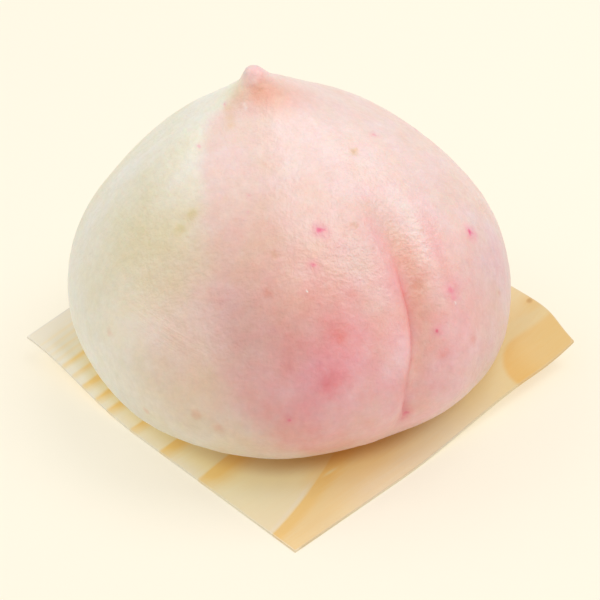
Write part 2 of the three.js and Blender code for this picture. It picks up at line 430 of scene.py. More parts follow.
class Finish:
    """A material under construction. Its place is in millimetres."""

    def __init__(self, name):
        self.material = bpy.data.materials.new(name)
        self.material.use_nodes = True
        self.tree = self.material.node_tree
        self.shader = self.tree.nodes["Principled BSDF"]
        self.place = self.vector("SCALE", self.node("ShaderNodeTexCoord", output="Object"), 1 / MM)
        self.axes = {}

    def node(self, kind, settings=None, inputs=(), output=0):
        """Adds a node, sets it up, then gives its sockets values or wires."""
        made = self.tree.nodes.new(kind)
        for key, value in (settings or {}).items():
            setattr(made, key, value)
        if isinstance(inputs, dict):
            pairs = [(made.inputs[key], value) for key, value in inputs.items()]
        else:
            live = [socket for socket in made.inputs if socket.enabled]
            pairs = zip(live, inputs)
        for socket, value in pairs:
            if isinstance(value, Wire):
                self.tree.links.new(value.socket, socket)
            else:
                socket.default_value = value
        return Wire(self, made.outputs[output])

    def math(self, operation, *values):
        return self.node("ShaderNodeMath", {"operation": operation}, values)

    def vector(self, operation, *values, output="Vector"):
        return self.node("ShaderNodeVectorMath", {"operation": operation}, values, output)

    def turn_place(self, angle, shift):
        """Turns the place about the vertical and then shifts it, for a pattern at a slant."""
        settings = {"rotation_type": "Z_AXIS"}
        inputs = {"Vector": self.place, "Angle": angle}
        turned = self.node("ShaderNodeVectorRotate", settings, inputs)
        self.place = self.vector("ADD", turned, shift)

    def axis(self, name):
        return self.node("ShaderNodeSeparateXYZ", None, [self.place], name)

    def noise(self, size, detail=2, roughness=0.5, place=None, output=0):
        """Soft noise from 0 to 1 whose lumps are about size millimetres wide."""
        settings = {"noise_dimensions": "3D", "normalize": True}
        inputs = {"Vector": place or self.place, "Scale": 1 / size}
        inputs.update({"Detail": detail, "Roughness": roughness})
        return self.node("ShaderNodeTexNoise", settings, inputs, output)

    def mottle(self, by, **settings):
        """Noise that swings up and down by half the given amount."""
        return (self.noise(**settings) - 0.5) * by

    def smooth(self, value, low, high, at_low=0, at_high=1):
        """A soft S from at_low to at_high, while the value runs from low to high."""
        settings = {"interpolation_type": "SMOOTHSTEP"}
        inputs = {"Value": value, "From Min": low, "From Max": high}
        inputs.update({"To Min": at_low, "To Max": at_high})
        return self.node("ShaderNodeMapRange", settings, inputs)

    def zone(self, steps):
        """The product of soft steps, each along the axis that it names."""
        return math.prod(self.smooth(self.axes[axis], *step) for axis, *step in steps)

    def bell(self, value, middle, reach):
        away = (value - middle) / reach
        return self.math("EXPONENT", -(away * away))

    def distance(self, point, place=None):
        """Millimetres from a point."""
        return self.vector("DISTANCE", place or self.place, point, output="Value")

    def distance_flat(self, point):
        """Millimetres from a point, seen from above."""
        flat = self.vector("MULTIPLY", self.place, (1, 1, 0))
        return self.distance((*point, 0), flat)

    def patch(self, point, reach):
        return self.bell(self.distance(point), 0, reach)

    def stirred(self, size, amount):
        """The place, moved about by up to half the amount, for ragged outlines."""
        cloud = self.noise(size, detail=1, output="Color")
        centred = self.vector("SUBTRACT", cloud, (0.5, 0.5, 0.5))
        return self.vector("ADD", self.place, self.vector("SCALE", centred, amount))

    def mix(self, share, first, second, how="MIX"):
        """Colours: first where share is 0, second where it is 1."""
        pair = [value if isinstance(value, Wire) else (*value, 1) for value in (first, second)]
        settings = {"data_type": "RGBA", "blend_type": how, "clamp_factor": True}
        # A Mix node repeats its sockets' names for every type of data. These are the colours'.
        return self.node("ShaderNodeMix", settings, {0: share, 6: pair[0], 7: pair[1]}, 2)

    def tint(self, under, pigment_or_shade, amount):
        """A see-through layer over a colour: the more of the pigment, the deeper it is."""
        film = self.node("ShaderNodeGamma", None, [(*pigment_or_shade, 1), self.math("MAXIMUM", amount, 0)])
        return self.mix(1.0, under, film, "MULTIPLY")

    def attribute(self, name):
        return self.node("ShaderNodeAttribute", {"attribute_name": name}, (), "Fac")

    def relief(self, height):
        """Feeds a height in millimetres to the shader's normal."""
        inputs = {"Strength": 1.0, "Distance": MM, "Height": height}
        self.feed("Normal", self.node("ShaderNodeBump", None, inputs))

    def feed(self, name, wire):
        self.tree.links.new(wire.socket, self.shader.inputs[name])

    def fix(self, **constants):
        for name, value in constants.items():
            self.shader.inputs[name.replace("_", " ")].default_value = value


# --- The dough's colours ---

# The white of the dough and what one unit of each pigment lets through. The shade is no
# pigment but painted shade: a grey where the light falls less.
DOUGH_WHITE = (0.964, 0.967, 0.963)
PIGMENTS_AND_SHADE = {
    "pink": (0.955, 0.52, 0.555),
    "yellow": (0.945, 0.895, 0.70),
    "magenta": (0.97, 0.38, 0.60),
    "shade": (0.9, 0.9, 0.9),
}
# What lies evenly over the blush, and over the whole dough. The shade's wash is an even
# painted shade, which the shade spots deepen and lift.
BLUSH_WASH = 0.364
YELLOW_WASH = 0.38
SHADE_WASH = 0.8

# A zone is a list of soft steps, whose product is taken. Each has the axis that it runs along,
# where it starts and where it ends, and its values there, if they aren't 0 and 1.
# This one lays more shade towards the foot.
FOOT_SHADE = [("z", 19, 5, 0, 1.45)]

# How unevenly the pigments and the grey of the painted shade lie.
PINK_MOTTLE = {"size": 4, "detail": 5, "roughness": 0.62, "by": 0.9}
YELLOW_MOTTLE = {"size": 5, "detail": 5, "roughness": 0.6, "by": 1.1}
SHADE_MOTTLE = {"size": 1.6, "detail": 4, "roughness": 0.75, "by": 2.2}

# Where the blush begins, seen from the front: a line that bows to the right below and above.
BLUSH_EDGE = -16.6
BLUSH_EDGE_HEIGHT = 46
BLUSH_EDGE_BOW = 0.015
BLUSH_SHOULDER = {"height": 51.5, "reach": 3, "by": -0.5}
BLUSH_CREST = {"tilt": (0.616, 0.788), "from": 43.2, "over": 7.5, "slope": 0.9}
BLUSH_DRIFT = {"size": 9, "by": 3}
# How soft that edge is: crisper in front of the nub and softer behind.
BLUSH_SOFTNESS = 4.5
BLUSH_CRISPER = [("z", 43, 52), ("y", 16, 6, 0, -2.7)]
BLUSH_SOFTER = [("y", 8, 26, 0, 2.5)]
# Between these distances inside the edge the blush can deepen.
BLUSH_DEEPENS = (-42, 10)

# Soft patches of pigment: the middle of each, its reach and how strong it is.
PINK_PATCHES = [
    {"at": (-3.9, -39.2, 25.5), "reach": 27.6, "strength": 0.61},
    {"at": (20.3, -22.6, 28.3), "reach": 14.5, "strength": 0.60},
    {"at": (25, 24, 24), "reach": 20, "strength": 0.42},
    {"at": (2, 38, 30), "reach": 13, "strength": 0.25},
]
YELLOW_SIDES = [
    {"at": (-34.1, -21.4, 50.6), "reach": 18.2, "strength": 1.31},
    {"at": (-33, 17, 34), "reach": 17, "strength": 0.8},
]
PINK_SPOTS = [
    # On and round the nub.
    {"at": (-8.0, 4.4, 63.2), "reach": 2.2, "strength": 0.22},
    {"at": (-7.2, 1.7, 60.7), "reach": 2.6, "strength": 0.42},
    {"at": (-4.6, 2.2, 60.1), "reach": 2.8, "strength": 0.12},
    {"at": (-3.8, 1.2, 59.8), "reach": 4, "strength": 0.2},
    {"at": (-0.3, 5, 59), "reach": 3.2, "strength": 0.13},
    {"at": (0, 2.4, 58.6), "reach": 3, "strength": 0.12},
    {"at": (-10.3, 0.5, 58.5), "reach": 2.5, "strength": 0.1},
    # The cream side.
    {"at": (-21.7, -33.4, 33.3), "reach": 9, "strength": 0.12},
    # Between the blush's edge and the cleft.
    {"at": (11.1, -26, 43.7), "reach": 4, "strength": -0.18},
    {"at": (6.3, -33, 39.8), "reach": 3.5, "strength": 0.12},
    {"at": (13.5, -31, 39), "reach": 3.5, "strength": -0.14},
    {"at": (7.2, -36.6, 35), "reach": 5, "strength": 0.22},
    {"at": (4.1, -38.2, 33.5), "reach": 7.6, "strength": 0.24},
    {"at": (-10.5, -38.5, 32), "reach": 6, "strength": -0.14},
    {"at": (5, -40.5, 29.5), "reach": 3.5, "strength": 0.25},
    {"at": (4, -41, 26), "reach": 5, "strength": 0.16},
    {"at": (7.6, -41.7, 21.5), "reach": 4, "strength": -0.18},
    {"at": (3, -41.5, 19), "reach": 8, "strength": 0.13},
    {"at": (-14, -41, 16.5), "reach": 7, "strength": -0.12},
    {"at": (1, -43, 16.5), "reach": 5, "strength": 0.1},
    # Along the cleft.
    {"at": (17.8, -25.4, 38.8), "reach": 3, "strength": 0.25},
    {"at": (23, -24.8, 36.5), "reach": 5, "strength": -0.15},
    {"at": (19.6, -28, 35.3), "reach": 2.5, "strength": 0.15},
    {"at": (18.7, -35.9, 29.8), "reach": 4, "strength": -0.2},
    {"at": (19.7, -33.3, 13.7), "reach": 5, "strength": 0.2},
    # Right of the cleft.
    {"at": (36, -11, 32.8), "reach": 4, "strength": 0.12},
    {"at": (37.5, -8, 31), "reach": 6, "strength": 0.12},
]
YELLOW_SPOTS = [
    # On and round the nub.
    {"at": (-8.4, 4.0, 63.0), "reach": 2.2, "strength": -0.4},
    {"at": (-7.2, 1.7, 60.7), "reach": 2.6, "strength": 0.95},
    {"at": (-4.2, 1.4, 60.1), "reach": 3, "strength": 0.45},
    {"at": (-10.8, 2.6, 60), "reach": 1.8, "strength": 0.4},
    {"at": (-2, 4.5, 59.8), "reach": 2.6, "strength": 0.3},
    {"at": (-11.7, 5.6, 59.7), "reach": 2, "strength": 0.4},
    {"at": (-2.8, 0.8, 59.2), "reach": 2.2, "strength": 0.2},
    {"at": (-11.8, 2, 58.8), "reach": 2.5, "strength": 0.3},
    {"at": (-7.8, -1.2, 58.7), "reach": 3, "strength": -0.2},
    {"at": (-12.9, 1.1, 57.7), "reach": 0.9, "strength": 0.45},
    {"at": (-12.5, -0.9, 56.9), "reach": 1.0, "strength": 0.5},
    {"at": (-12.3, -2.6, 56.3), "reach": 0.8, "strength": 0.6},
    {"at": (-10, 0, 56), "reach": 7, "strength": 0.18},
    # The cream side.
    {"at": (-19.5, -10.2, 49.9), "reach": 5, "strength": -0.2},
    {"at": (-32.2, 0, 43), "reach": 6, "strength": -0.2},
    {"at": (-33, 5, 43), "reach": 7, "strength": -0.3},
    {"at": (-27, -20, 38), "reach": 7, "strength": 0.15},
    {"at": (-23, -28.6, 37.3), "reach": 4, "strength": 0.2},
    {"at": (-38, -1, 34), "reach": 6, "strength": -0.25},
    {"at": (-27, -29.5, 33.5), "reach": 6, "strength": -0.2},
    {"at": (-26.9, -33.6, 27.8), "reach": 4, "strength": 0.25},
    {"at": (-17.3, -40.3, 24.4), "reach": 6.9, "strength": 0.48},
    {"at": (-23, -37.5, 23), "reach": 9, "strength": 0.25},
    # Yellower low on the rim, as a painted reflection of light from the liner.
    {"at": (-25, -34.5, 12.5), "reach": 7, "strength": 0.4},
    # Between the blush's edge and the cleft.
    {"at": (-15.3, -22.2, 45.5), "reach": 5, "strength": -0.22},
    {"at": (-8.3, -27, 44.4), "reach": 15.8, "strength": 0.5},
    {"at": (-16, -24, 41.5), "reach": 7, "strength": 0.22},
    {"at": (3.8, -32.4, 40.2), "reach": 4, "strength": 0.2},
    {"at": (-15.2, -31, 39), "reach": 5, "strength": -0.3},
    {"at": (-1.7, -37.3, 35.4), "reach": 5, "strength": 0.2},
    {"at": (9.4, -36.4, 34.7), "reach": 4, "strength": -0.25},
    {"at": (5.1, -40.1, 29.9), "reach": 7.6, "strength": -0.44},
    {"at": (-15.2, -39.6, 28.4), "reach": 4, "strength": 0.25},
    {"at": (1.7, -41.9, 26), "reach": 6, "strength": -0.2},
    {"at": (-13, -41, 25), "reach": 6, "strength": -0.25},
    {"at": (-10.6, -41.3, 14.9), "reach": 5.6, "strength": 0.58},
    # Along the cleft.
    {"at": (16.9, -16.9, 44.9), "reach": 2.5, "strength": -0.3},
    {"at": (16.7, -28.9, 39.5), "reach": 2.5, "strength": -0.25},
    {"at": (23.1, -23.7, 37.9), "reach": 4, "strength": 0.2},
    {"at": (14, -32, 37), "reach": 7, "strength": 0.15},
    {"at": (15, -33, 36.5), "reach": 3, "strength": 0.25},
    {"at": (27.3, -31.7, 21.7), "reach": 7, "strength": -0.32},
    {"at": (19.1, -34.7, 20.1), "reach": 3, "strength": -0.3},
    {"at": (21.3, -33.7, 17.6), "reach": 2.5, "strength": 0.4},
    {"at": (19.7, -33.3, 13.7), "reach": 5, "strength": -0.2},
    # Right of the cleft.
    {"at": (36.3, -6.3, 33.8), "reach": 4, "strength": -0.25},
    {"at": (36.3, -12.3, 31.4), "reach": 7, "strength": -0.3},
    {"at": (37.5, -8, 31), "reach": 6, "strength": -0.2},
    {"at": (35.7, -17.4, 28.5), "reach": 4, "strength": 0.25},
    # Yellower low on the rim, as a painted reflection of light from the liner.
    {"at": (34, -23, 16), "reach": 6, "strength": 0.25},
    # The far side.
    {"at": (30, 30, 22), "reach": 9, "strength": 0.4},
]
# Patches of painted shade, and of painted light where the strength is negative.
SHADE_SPOTS = [
    # On and round the nub.
    {"at": (-4.6, 2.2, 60.1), "reach": 2.8, "strength": 0.35},
    {"at": (-13.4, -1.9, 56), "reach": 10.9, "strength": -1.0},
    # The cream side.
    {"at": (-20, -17, 45), "reach": 11, "strength": 0.75},
    {"at": (-25.1, -26.5, 37.8), "reach": 5, "strength": 0.4},
    {"at": (-28, -28.9, 33.1), "reach": 6.8, "strength": -0.98},
    {"at": (-17, -36, 33), "reach": 6, "strength": -0.5},
    {"at": (-32.9, -26.6, 29.4), "reach": 5, "strength": -0.45},
    {"at": (-18.1, -40.2, 23.9), "reach": 5, "strength": -0.4},
    {"at": (-18.5, -39.5, 18), "reach": 4, "strength": 0.5},
    {"at": (-31, -29.5, 13), "reach": 7, "strength": 0.75},
    {"at": (-22.5, -35.5, 11.5), "reach": 6, "strength": 0.5},
    # Between the blush's edge and the cleft.
    {"at": (-14, -15, 49.5), "reach": 8, "strength": -0.5},
    {"at": (-0.7, -30.9, 42.1), "reach": 5, "strength": -0.35},
    {"at": (-10.3, -34.5, 37.5), "reach": 8.4, "strength": 1.11},
    {"at": (7.4, -37.5, 34.2), "reach": 4, "strength": -0.35},
    {"at": (-9.6, -37.8, 33.6), "reach": 4, "strength": 0.4},
    {"at": (0, -37, 32), "reach": 7, "strength": 0.4},
    {"at": (11.4, -39.6, 28.4), "reach": 9, "strength": -0.45},
    {"at": (-10.5, -41.8, 16), "reach": 8, "strength": 0.65},
    # Along the cleft.
    {"at": (12, -4, 52), "reach": 8, "strength": -0.5},
    {"at": (8.4, -17.6, 48.6), "reach": 2.5, "strength": 0.3},
    {"at": (11.2, -21, 46.5), "reach": 2.5, "strength": 0.45},
    {"at": (12, -25, 44), "reach": 2.8, "strength": 0.5},
    {"at": (18.6, -20.3, 42.2), "reach": 4.2, "strength": -0.7},
    {"at": (23.9, -19.3, 41.2), "reach": 3, "strength": -0.3},
    {"at": (15.9, -30, 38.7), "reach": 3, "strength": 0.4},
    {"at": (20, -29, 33), "reach": 15, "strength": -0.65},
    {"at": (19.7, -33.3, 13.7), "reach": 6, "strength": -0.5},
    # Right of the cleft.
    {"at": (29.2, -13, 39.9), "reach": 5, "strength": -0.65},
    {"at": (36.3, -12.3, 31.4), "reach": 11.5, "strength": 1.15},
    {"at": (38, -1.5, 31), "reach": 5, "strength": 0.6},
    {"at": (39.3, -6.5, 24), "reach": 6.5, "strength": 0.9},
    {"at": (33.5, -24.5, 22.5), "reach": 6, "strength": 0.6},
    {"at": (35.5, -21, 16.5), "reach": 6, "strength": 0.55},
]

# Bands along the groove: where each lies across it, the soft steps in height between which
# it shows or the height that it lies around, and how much of each pigment and of painted
# shade it adds.
CLEFT_STEPS = [("z", 12, 21), ("z", 43, 35)]
GROOVE_BANDS = [
    # A red core, reddest at two thirds of the height.
    {"across": -0.2, "reach": 0.8, "steps": CLEFT_STEPS, "pink": 0.325},
    {"across": -0.2, "reach": 0.8, "steps": CLEFT_STEPS, "around": (36, 6), "pink": 0.455},
    # A flush, which widens above.
    {
        "across": -0.8,
        "reach": 2.0,
        "steps": [("z", 16, 25), ("z", 51, 43)],
        "widens": [("z", 36, 44, 1, 1.8)],
        "pink": 0.28,
    },
    # A lilac lip to the left.
    {"across": -4, "reach": 3, "steps": CLEFT_STEPS, "yellow": -0.25},
    # A tan valley to the right, darkened with painted shade, and the pale ridge beyond it.
    {
        "across": 3,
        "reach": 2.4,
        "steps": [("z", 14, 36), ("z", 49, 43)],
        "yellow": 0.6,
        "shade": 0.5,
    },
    {"across": 6.6, "reach": 1.6, "steps": [("z", 35, 41), ("z", 50, 46)], "pink": -0.12},
    # The short fold.
    {"across": FOLD["across"], "reach": 1.5, "around": (FOLD["height"], 4), "pink": 0.22},
    # The painted shadow of the bend, and the floor below, pinker and with painted shade.
    {"across": -0.2, "reach": 2.2, "around": (28.5, 7), "pink": -0.1, "shade": 0.9},
    {
        "across": -0.3,
        "reach": 1.1,
        "steps": [("z", 12, 17), ("z", 38, 32)],
        "pink": 0.22,
        "shade": 0.7,
    },
]

# Small marks, each placed by its azimuth in degrees and its height, or by a point.
SPECKS = [
    {"azimuth": -72.4, "height": 47.4, "size": 1.0, "strength": 1.25},
    {"azimuth": -78.9, "height": 44.2, "size": 0.9, "strength": 0.62},
    {"azimuth": -14.7, "height": 39.3, "size": 1.1, "strength": 1.2},
    {"azimuth": -36.2, "height": 35.9, "size": 1.3, "strength": 0.42},
    {"azimuth": -36.6, "height": 34.8, "size": 1.2, "strength": 0.26},
    {"azimuth": -45.2, "height": 31.1, "size": 0.7, "strength": 0.92},
    {"azimuth": -89.2, "height": 22.0, "size": 0.9, "strength": 0.58},
    {"azimuth": -55.6, "height": 15.9, "size": 0.9, "strength": 0.5},
    {"azimuth": 12.3, "height": 52.1, "size": 0.6, "strength": 0.28},
    {"azimuth": 14.1, "height": 51.9, "size": 0.6, "strength": 0.28},
    {"azimuth": -176.3, "height": 52.9, "size": 0.7, "strength": 0.3},
    {"azimuth": 155.2, "height": 57.8, "size": 0.45, "strength": 0.35},
    {"azimuth": -117.2, "height": 50.6, "size": 0.35, "strength": 0.3},
    {"azimuth": -112.2, "height": 49.2, "size": 0.35, "strength": 0.3},
]
BLOBS = [
    {"azimuth": -74.5, "height": 35.2, "size": 1.5, "strength": 1.7},
    {"azimuth": -78.7, "height": 28.6, "size": 1.6, "strength": 0.8},
    {"azimuth": -67.2, "height": 40.5, "size": 0.9, "strength": 0.8},
    {"azimuth": -45.3, "height": 27.3, "size": 1.1},
    {"azimuth": -35.6, "height": 27.1, "size": 1.1},
    {"azimuth": -112.7, "height": 21.1, "size": 1.1},
    {"azimuth": -107.1, "height": 19.0, "size": 1.2},
    {"azimuth": -128.2, "height": 16.9, "size": 0.9},
    {"azimuth": -143.6, "height": 28.0, "size": 0.9, "strength": 0.6},
    {"azimuth": -96.0, "height": 41.0, "size": 1.0},
    {"azimuth": -43.6, "height": 37.5, "size": 1.1, "strength": 0.9},
    {"azimuth": -18.1, "height": 28.7, "size": 0.7, "strength": 0.6},
    {"at": (19.5, -34.9, 23.4), "size": 1.1, "strength": 0.7},
]
TAN_SPOTS = [
    {"azimuth": -139.9, "height": 47.2, "size": 1.2, "strength": 1.4},
    {"azimuth": -139.9, "height": 45.2, "size": 1.2, "strength": 1.4},
    {"azimuth": -11.6, "height": 52.6, "size": 0.9, "strength": 2.4},
    {"azimuth": -55.5, "height": 47.2, "size": 0.8},
    {"azimuth": -94.6, "height": 45.4, "size": 0.8},
    {"azimuth": -18.6, "height": 29.0, "size": 1.0, "strength": 0.6},
    {"azimuth": 38.0, "height": 41.0, "size": 1.0},
    {"azimuth": 96.0, "height": 33.0, "size": 1.2},
]
# Pale specks, where the tints lie thinner, and one painted highlight on the nub's lip.
PALE_SPECKS_AND_HIGHLIGHT = [
    {"azimuth": -37.0, "height": 34.0, "size": 0.35},
    {"azimuth": -83.1, "height": 41.6, "size": 0.35},
    {"azimuth": 158.4, "height": 59.1, "size": 0.6, "strength": 0.35},
    {"azimuth": 162.4, "height": 58.7, "size": 0.6, "strength": 0.35},
    # A painted highlight on the pale rim under the nub's lip.
    {"at": (-8.2, 3.0, 62.0), "size": 1.0, "strength": 0.3},
]
FAR_SPECKS = 12
FAR_SPECK_AZIMUTHS = (30, 125)
FAR_SPECK_HEIGHTS = (12, 50)
FAR_SPECK_SIZES = (0.4, 0.9)
FAR_SPECK_SEED = 7
# How the outlines of the marks are stirred to make them ragged.
RAGGED = {"size": 1.4, "amount": 1.3}


def far_specks():
    """Specks for the side of the blush that faces away."""
    draw = random.Random(FAR_SPECK_SEED)
    return [
        {
            "azimuth": draw.uniform(*FAR_SPECK_AZIMUTHS),
            "height": draw.uniform(*FAR_SPECK_HEIGHTS),
            "size": draw.uniform(*FAR_SPECK_SIZES),
        }
        for _ in range(FAR_SPECKS)
    ]


# What each kind of mark adds of each pigment, and of grey, and how many times its size it spreads.
ALL_SPECKS = SPECKS + far_specks()
STAINS = [
    {"marks": ALL_SPECKS, "spread": 0.8, "magenta": 0.95},
    {"marks": ALL_SPECKS, "spread": 2.4, "magenta": 0.32},
    {"marks": BLOBS, "spread": 1.5, "pink": 0.25, "yellow": 0.25},
    {"marks": TAN_SPOTS, "spread": 1.5, "yellow": 0.6},
    # The tan spots, which sit in the hollows, are also darkened with grey.
    {"marks": TAN_SPOTS, "spread": 1.3, "shade": 0.2},
]

# The skin's fine relief, in millimetres: pebbles all over, higher where it is crinkled enough
# to sparkle, and slanting wrinkles on the cream side.
PEBBLES = {"size": 1.0, "roughness": 0.6}
PEBBLE_HEIGHT = 0.18
CRINKLES = [
    {"at": (9.5, -25.6, 44.4), "reach": 6, "strength": 0.144},
    {"at": (20, -18.5, 43), "reach": 5, "strength": 0.144},
    {"at": (12, -12, 49.5), "reach": 7, "strength": 0.072},
]
WRINKLED = {"point": (-22.5, -32.5, 33.2), "reach": 9}
WRINKLE_TILT = (0.235, 0.139)
WRINKLE_ROWS = {"middle": 23.6, "reach": 2.6}
WRINKLE_STRETCH = (0.16, 0.16, 1.5)
WRINKLE_STEP = (0.4, 0.75)
WRINKLE_HEIGHT = 0.06


def blush(finish, x, y, z):
    """Where the blush lies and where it can deepen, each from 0 to 1."""
    below = finish.math("MINIMUM", z - BLUSH_EDGE_HEIGHT, 0)
    tilt_y, tilt_z = BLUSH_CREST["tilt"]
    climb = finish.math("MAXIMUM", y * tilt_y + z * tilt_z - BLUSH_CREST["from"], 0)
    above = finish.math("MINIMUM", climb, BLUSH_CREST["over"])
    shoulder = finish.bell(z, BLUSH_SHOULDER["height"], BLUSH_SHOULDER["reach"])
    bow = below * below * BLUSH_EDGE_BOW + above * BLUSH_CREST["slope"]
    bow = bow + shoulder * BLUSH_SHOULDER["by"]
    inside = x - BLUSH_EDGE - bow + finish.mottle(**BLUSH_DRIFT)
    softness = finish.zone(BLUSH_CRISPER) + finish.zone(BLUSH_SOFTER) + BLUSH_SOFTNESS
    return finish.smooth(inside / softness, -1, 1), finish.smooth(inside, *BLUSH_DEEPENS)


def wrinkle_height(finish, x, y, z):
    """Fine wrinkles in slanting rows, in millimetres."""
    row = z + x * WRINKLE_TILT[0] + y * WRINKLE_TILT[1]
    stretched = [axis * by for axis, by in zip((x, y, row), WRINKLE_STRETCH)]
    place = finish.node("ShaderNodeCombineXYZ", None, stretched)
    wrinkles = finish.smooth(finish.noise(1, place=place), *WRINKLE_STEP)
    return wrinkles * finish.patch(**WRINKLED) * finish.bell(row, **WRINKLE_ROWS) * WRINKLE_HEIGHT


def groove_band(finish, form):
    """One band along the groove, which tints the dough or lays painted shade, from 0 to 1."""
    groove = finish.axes["groove"] / finish.zone(form.get("widens", []))
    share = finish.bell(groove, form["across"], form["reach"]) * finish.zone(form.get("steps", []))
    if "around" in form:
        share = share * finish.bell(finish.axes["z"], *form["around"])
    return share


def dough_finish(bun):
    finish = Finish("dough")
    x, y, z = (finish.axis(name) for name in "XYZ")
    finish.axes = {"y": y, "z": z, "groove": finish.attribute("from_groove")}
    ragged = finish.stirred(**RAGGED)

    def patches(listed, start=0):
        drawn = (finish.patch(form["at"], form["reach"]) * form["strength"] for form in listed)
        return sum(drawn, start)

    def marks(listed, spread=1):
        total = 0
        for mark in listed:
            spot = mark.get("at") or on_skin(bun, mark["azimuth"], mark["height"])
            spotted = finish.smooth(finish.distance(spot, ragged), mark["size"] * spread, 0)
            total = spotted * mark.get("strength", 1) + total
        return total

    layers = [(groove_band(finish, form), form) for form in GROOVE_BANDS]
    layers += [(marks(stain["marks"], stain["spread"]), stain) for stain in STAINS]

    def laid(pigment_or_shade):
        """What the groove's bands and the marks add of one tint, a colour or the painted shade."""
        return sum(layer * form[pigment_or_shade] for layer, form in layers if pigment_or_shade in form)

    edge, deep = blush(finish, x, y, z)
    pink = edge * BLUSH_WASH + deep * patches(PINK_PATCHES) + patches(PINK_SPOTS)
    yellow = patches(YELLOW_SIDES) * (1 - edge) + patches(YELLOW_SPOTS, YELLOW_WASH)
    shade = patches(SHADE_SPOTS, SHADE_WASH) + finish.zone(FOOT_SHADE)
    amounts = {
        "pink": pink * (finish.mottle(**PINK_MOTTLE) + 1) + laid("pink"),
        "yellow": yellow + finish.mottle(**YELLOW_MOTTLE) + laid("yellow"),
        "magenta": laid("magenta"),
        "shade": shade + finish.mottle(**SHADE_MOTTLE) + laid("shade"),
    }
    # The pale specks thin out the tints; the one under the nub's lip is a painted highlight.
    tint_kept = 1 - finish.math("MINIMUM", marks(PALE_SPECKS_AND_HIGHLIGHT), 1)
    colour = DOUGH_WHITE
    for pigment_or_shade, amount in amounts.items():
        colour = finish.tint(colour, PIGMENTS_AND_SHADE[pigment_or_shade], amount * tint_kept)
    finish.feed("Base Color", colour)

    pebbles = finish.noise(**PEBBLES) * patches(CRINKLES, PEBBLE_HEIGHT)
    finish.relief(pebbles + wrinkle_height(finish, x, y, z))
    finish.fix(Roughness=0.36, Specular_IOR_Level=0.42)
    finish.fix(Subsurface_Weight=0.35, Subsurface_Scale=3 * MM, Subsurface_Radius=(1.0, 0.5, 0.35))
    return finish.material


# --- The veneer's colours ---

# Places on the sheet are given by p, the millimetres from its edge at the front left, and q,
# those from its edge at the front right.
PALE_WOOD = (0.99, 0.91, 0.61)
GREY_WOOD = (0.88, 0.81, 0.70)
LATE_WOOD = (0.99, 0.72, 0.28)
MARGIN = (0.98, 0.935, 0.81)

# How the bands waver, and the fibre along them.
WAVER = {"size": 14, "by": 1.4}
FIBRE_STRETCH = (0.06, 2.2, 1)
FIBRE_DETAIL = 3
FIBRE_DARK = 0.35
FIBRE_HEIGHT = 0.04

# The year rings that cross the liner: how far each lies from the pith, how far it
# fades on its inner side and how dark it is.
RINGS = [
    {"at": 27.8, "fade": 6.0, "dark": 1.0},
    {"at": 37.6, "fade": 4.5, "dark": 1.0},
    {"at": 45.7, "fade": 3.5, "dark": 0.8},
    {"at": 52.1, "fade": 2.9, "dark": 0.95},
    {"at": 55.5, "fade": 2.4, "dark": 0.95},
    {"at": 59.1, "fade": 2.6, "dark": 1.0},
    {"at": 62.0, "fade": 1.8, "dark": 0.65},
    {"at": 65.0, "fade": 1.9, "dark": 0.8},
    {"at": 66.8, "fade": 1.2, "dark": 0.25},
    {"at": 68.4, "fade": 1.2, "dark": 0.3},
    {"at": 70.0, "fade": 1.2, "dark": 0.25},
    {"at": 71.7, "fade": 1.2, "dark": 0.2},
]
# The pith's p and q. On its left the rings are long ellipses round it, and on its right they
# run straight.
PITH = (62, 0.8)
RING_STRETCH = 0.2
RING_WAVER = 0.5
RING_EDGE = (-0.4, 0.5)
RINGS_PALER = [("p", 0, 4, 0.85, 1.4)]

# The broad band at the front corner opens between two lines, each
# q = start + slope * p + bend * p * p. Its share is 0 on the left line and 1 on the right one.
BAND_LEFT = {"start": 5.95, "slope": 0.2, "bend": 0.0065}
BAND_RIGHT = {"start": 0.4, "slope": 0.2}
BAND_WAVER = 0.3
BAND_EDGE = [("share", -0.04, 0.08)]
BAND_SPILL = [("share", -0.7, 0.1, 0, 0.5), ("p", 10, 17)]
BAND_FADES = [("share", 0.25, 0.6, 1, 0.62), ("share", 0.8, 1.5, 1, 0.516), ("p", 45, 26)]
FLECK = {"at": (18.8, 10.2), "long": 1.6, "wide": 0.3, "paler": 0.7}

# The tongue of dark wood that runs to the right corner, and the band beside it.
TONGUE_TIP = 65.9
TONGUE_MIDDLE = 0.8
TONGUE_RADIUS = 7.2
TONGUE_WAVER = 0.3
TONGUE_EDGE = (-0.5, 0.9)
TONGUE_NARROWS = [("p", 64, 74, 0, 1.4)]
TONGUE_FADES = [("p", 61, 68, 0.93, 0.63)]
SIDE_BAND = {"from": 10.5, "slope": 0.35, "at": 68}
SIDE_BAND_STEPS = [("beyond", -0.5, 0.9), ("beyond", 10, 2, 0, 0.24), ("p", 50, 62)]
KNOT = (74.3, 11.1)
KNOT_HALO = {"reach": 1.5, "dark": 0.35}

# Where the pale wood is greyer, and where it has a paler margin.
GREY_LEFT = [("q", 52, 75, 0, 0.75)]
GREY_RIGHT = [("q", 10, 2, 0, 0.5), ("p", 10, 22), ("p", 55, 40)]
GREY_MOTTLE = {"size": 6, "by": 0.5}
MARGIN_LEFT = [("p", 4.5, 0, 0, 0.8), ("q", 18, 32), ("q", 72, 64)]
MARGIN_BAND = {"away": 0.5, "reach": 0.4, "steps": [("p", 20, 16, 0, 0.35)]}
